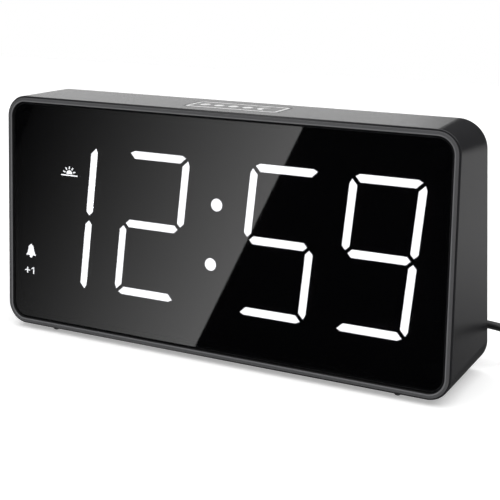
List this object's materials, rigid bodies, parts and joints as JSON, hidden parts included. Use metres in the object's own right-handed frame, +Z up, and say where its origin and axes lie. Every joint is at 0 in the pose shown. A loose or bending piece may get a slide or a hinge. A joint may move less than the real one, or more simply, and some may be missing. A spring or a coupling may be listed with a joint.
{
  "type": "digital alarm clock",
  "caption": "Wedge-shaped digital alarm clock with a wide smoked display, large segment digits, a snooze key on top, rear set keys and a thin power lead.",
  "frame": {"origin": "on the table under the middle of the clock's own box, without its power lead", "axes": "+X to the right of someone facing the display, +Y to the back of the clock, +Z up"},
  "size_m": [0.2847, 0.0779, 0.1002],
  "materials": {
    "housing_plastic": "fine matte texture",
    "frame_plastic": "satin",
    "smoked_lens": "polished smoked acrylic",
    "reflector_plastic": "matte black",
    "lit_diffuser": "glowing white diffuser",
    "dark_diffuser": "smoked diffuser",
    "circuit_board": "solder mask",
    "lamp_resin": "clear resin",
    "chip_resin": "moulded resin",
    "screw_steel": "zinc plated",
    "switch_plastic": "moulded",
    "speaker_metal": "plated basket",
    "ribbon_plastic": "flat cable",
    "connector_plastic": "moulded",
    "key_plastic": "satin",
    "cell_steel": "plain",
    "contact_brass": "sprung leaf",
    "plug_metal": "nickel plated",
    "cord_plastic": "soft matte jacket",
    "tie_fabric": "woven strap",
    "foot_rubber": "matte rubber"
  },
  "bodies": {
    "base": {"housing": "housing_plastic", "front_frame": "frame_plastic", "display_lens": "smoked_lens", "segment_reflector": "reflector_plastic", "lit_segments": "lit_diffuser", "unlit_segments": "dark_diffuser", "indicator_windows": "dark_diffuser", "display_board": "circuit_board", "display_leds": "lamp_resin", "driver_chips": "chip_resin", "rear_cover": "housing_plastic", "case_screws": "screw_steel", "control_board": "circuit_board", "board_screws": "screw_steel", "control_switches": "switch_plastic", "slider_switches": "switch_plastic", "dc_jack": "switch_plastic", "speaker": "speaker_metal", "ribbon_cable": "ribbon_plastic", "ribbon_connectors": "connector_plastic", "snooze_board": "circuit_board", "snooze_switch": "switch_plastic", "snooze_screws": "screw_steel", "backup_cell": "cell_steel", "battery_contacts": "contact_brass", "dc_plug_barrel": "plug_metal", "dc_plug_body": "cord_plastic", "power_cord": "cord_plastic", "power_cord_coil": "cord_plastic", "power_cord_tail": "cord_plastic", "cord_tie": "tie_fabric", "usb_plug_body": "cord_plastic", "usb_plug_shell": "plug_metal", "foot_front_left": "foot_rubber", "foot_front_right": "foot_rubber", "foot_rear_left": "foot_rubber", "foot_rear_right": "foot_rubber"},
    "snooze_key": {"snooze_key": "housing_plastic"},
    "time_key": {"time_key": "key_plastic"},
    "alarm_key": {"alarm_key": "key_plastic"},
    "hour_key": {"hour_key": "key_plastic"},
    "minute_key": {"minute_key": "key_plastic"},
    "alarm_slider": {"alarm_slider": "key_plastic"},
    "dimmer_slider": {"dimmer_slider": "key_plastic"},
    "battery_cap": {"battery_cap": "key_plastic"}
  },
  "joints": [
    {"name": "snooze_press", "type": "slide", "parent": "base", "child": "snooze_key", "axis": [0, 0, -1], "range_m": [0, 0.0008], "stiffness_N_per_m": 1200},
    {"name": "time_press", "type": "slide", "parent": "base", "child": "time_key", "axis": [0, -0.9939, -0.1105], "range_m": [0, 0.001], "stiffness_N_per_m": 1500},
    {"name": "alarm_press", "type": "slide", "parent": "base", "child": "alarm_key", "axis": [0, -0.9939, -0.1105], "range_m": [0, 0.001], "stiffness_N_per_m": 1500},
    {"name": "hour_press", "type": "slide", "parent": "base", "child": "hour_key", "axis": [0, -0.9939, -0.1105], "range_m": [0, 0.001], "stiffness_N_per_m": 1500},
    {"name": "minute_press", "type": "slide", "parent": "base", "child": "minute_key", "axis": [0, -0.9939, -0.1105], "range_m": [0, 0.001], "stiffness_N_per_m": 1500},
    {"name": "alarm_slide", "type": "slide", "parent": "base", "child": "alarm_slider", "axis": [-1, 0, 0], "range_m": [0, 0.003]},
    {"name": "dimmer_slide", "type": "slide", "parent": "base", "child": "dimmer_slider", "axis": [-1, 0, 0], "range_m": [0, 0.003]},
    {"name": "battery_cap_turn", "type": "hinge", "parent": "base", "child": "battery_cap", "pos_m": [-0.062, 0.01788, 0.04195], "axis": [0, 0.9939, 0.1105], "range_deg": [0, 60]}
  ]
}
